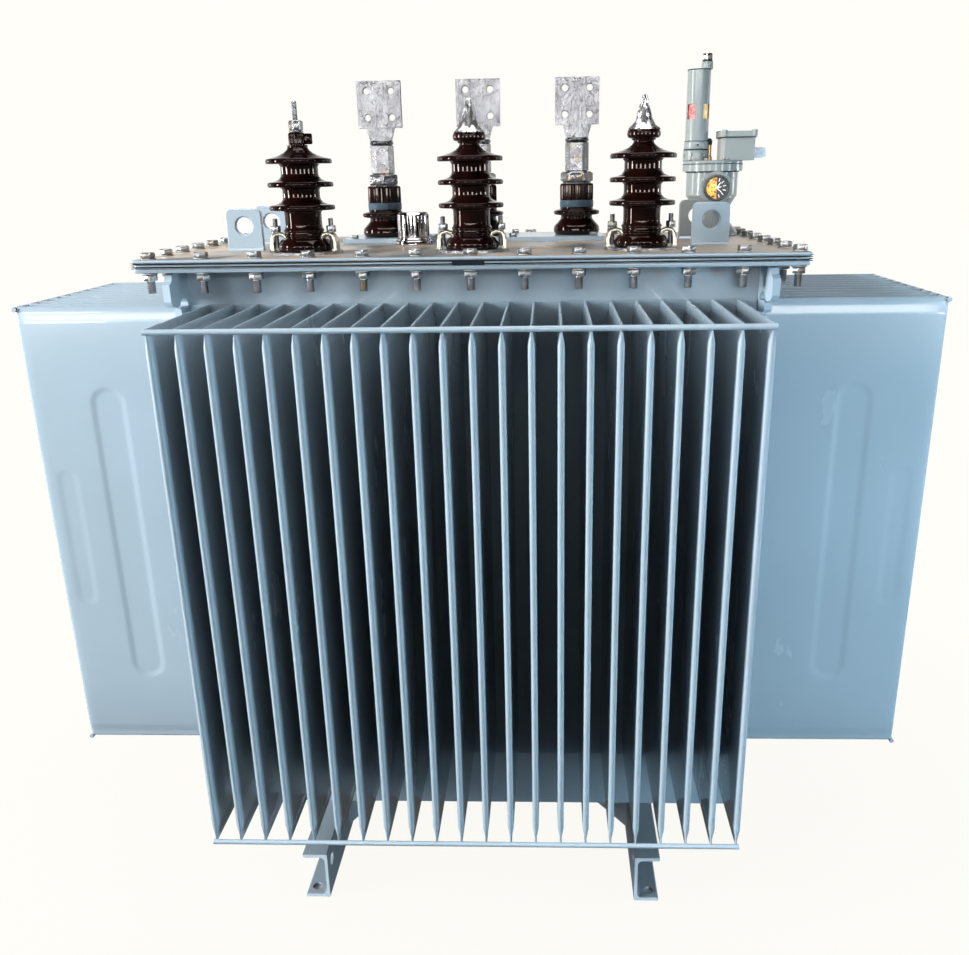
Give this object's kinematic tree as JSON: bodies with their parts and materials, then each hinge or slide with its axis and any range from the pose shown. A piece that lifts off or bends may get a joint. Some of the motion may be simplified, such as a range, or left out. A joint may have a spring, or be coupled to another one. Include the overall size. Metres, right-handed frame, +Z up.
{
  "type": "power transformer",
  "caption": "Oil-filled power transformer with corrugated cooling fins on a painted tank, porcelain bushings and a protection relay on its bolted cover, standing on channel skids.",
  "frame": {"origin": "on the ground under the middle of the tank", "axes": "+Z up, -Y towards the front with the high-voltage bushings, +X to the right of someone facing the front"},
  "size_m": [1.924, 1.253, 1.779],
  "materials": {
    "tank_paint": "smooth satin light blue-grey enamel",
    "bright_chrome": "mirror bright plating",
    "frame_paint": "blue-grey enamel over the gasket frame",
    "brown_glaze": "glossy dark brown glaze",
    "zinc": "bright zinc plating, faintly yellow",
    "tinned": "matt bright tin plating with fine scratches",
    "foil": "crumpled bright film",
    "skid_paint": "smooth satin light blue-grey enamel",
    "band_rubber": "dull blue-grey rubber",
    "brown_cap": "glossy dark brown, finely ribbed",
    "relay_paint": "semi-matt grey-green casting paint",
    "dial_face": "black dial with a yellow sector",
    "gland_plastic": "pale grey moulded plastic",
    "indicator_red": "coloured float behind the windows"
  },
  "bodies": {
    "root": {"corner_hooks": "tank_paint", "cover_plate": "tank_paint", "filler_cap": "bright_chrome", "front_fins": "tank_paint", "gasket_frame": "frame_paint", "hv_bushing_left": "brown_glaze", "hv_bushing_mid": "brown_glaze", "hv_bushing_right": "brown_glaze", "hv_clamps": "zinc", "hv_seats": "tinned", "hv_terminal_left": "zinc", "hv_terminal_mid": "foil", "hv_terminal_right": "foil", "left_fins": "tank_paint", "left_skid": "skid_paint", "lifting_lugs": "tank_paint", "long_brace_rods": "tank_paint", "lv_bands": "band_rubber", "lv_bushing_left": "brown_glaze", "lv_bushing_mid": "brown_glaze", "lv_bushing_right": "brown_glaze", "lv_caps": "brown_cap", "lv_nuts": "tinned", "lv_plate": "tank_paint", "lv_terminal_left": "tinned", "lv_terminal_mid": "tinned", "lv_terminal_right": "tinned", "rear_fins": "tank_paint", "relay_box": "relay_paint", "relay_chamber": "relay_paint", "relay_dial": "dial_face", "relay_foot": "relay_paint", "relay_gland": "gland_plastic", "relay_indicator": "indicator_red", "relay_lid": "relay_paint", "relay_plug": "zinc", "relay_tube": "relay_paint", "right_fins": "tank_paint", "right_skid": "skid_paint", "side_brace_rods": "tank_paint", "skid_gussets": "skid_paint", "tank_body": "tank_paint", "tank_flange": "tank_paint", "tank_floor": "tank_paint"}
  },
  "joints": []
}
